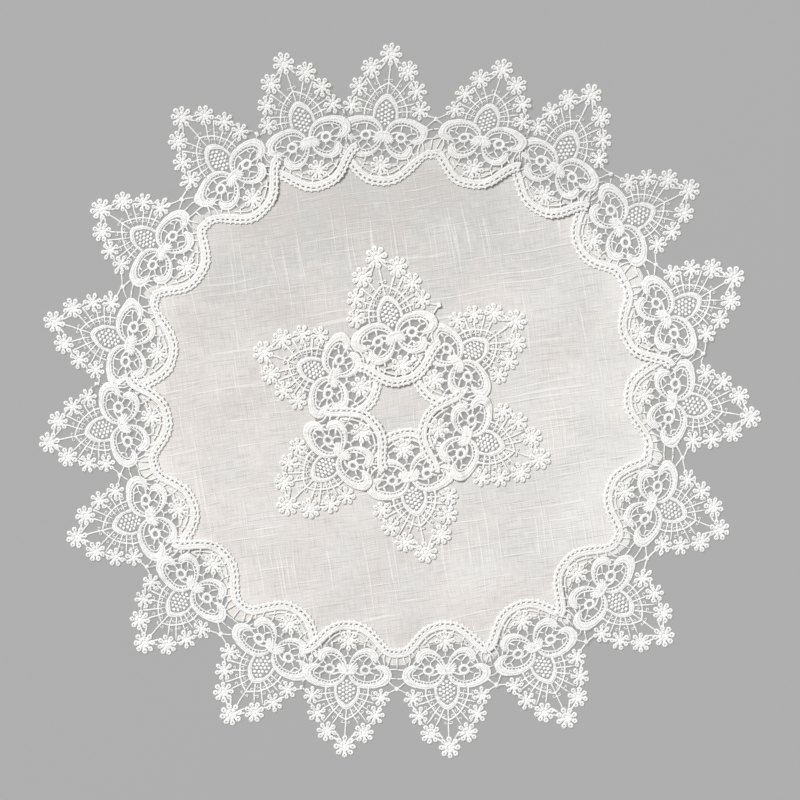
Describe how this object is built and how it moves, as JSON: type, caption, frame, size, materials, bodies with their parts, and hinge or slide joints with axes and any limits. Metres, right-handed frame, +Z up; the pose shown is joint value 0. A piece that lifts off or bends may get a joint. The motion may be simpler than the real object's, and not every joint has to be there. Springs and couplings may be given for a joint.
{
  "type": "round lace tablecloth",
  "caption": "Small round linen tablecloth lying flat, with a scalloped guipure lace border sewn on in lapped lengths and a lace star let into the middle.",
  "frame": {"origin": "middle of the underside, on the surface the cloth lies on", "axes": "+Z up from the surface through the cloth, +Y towards the point of the middle star that points up in the picture, +X to the right of it"},
  "size_m": [0.6033, 0.5973, 0.0044],
  "materials": {
    "linen": "matte slub plain weave, warm white",
    "lace": "matte cotton guipure, white"
  },
  "bodies": {
    "root": {"linen_ground": "linen", "linen_centre": "linen", "border_lace_1": "lace", "border_lace_2": "lace", "border_lace_3": "lace", "border_lace_4": "lace", "border_lace_5": "lace", "border_lace_6": "lace", "border_lace_7": "lace", "border_lace_8": "lace", "border_lace_9": "lace", "border_lace_10": "lace", "star_point_1": "lace", "star_point_2": "lace", "star_point_3": "lace", "star_point_4": "lace", "star_point_5": "lace", "star_point_6": "lace"}
  },
  "joints": []
}
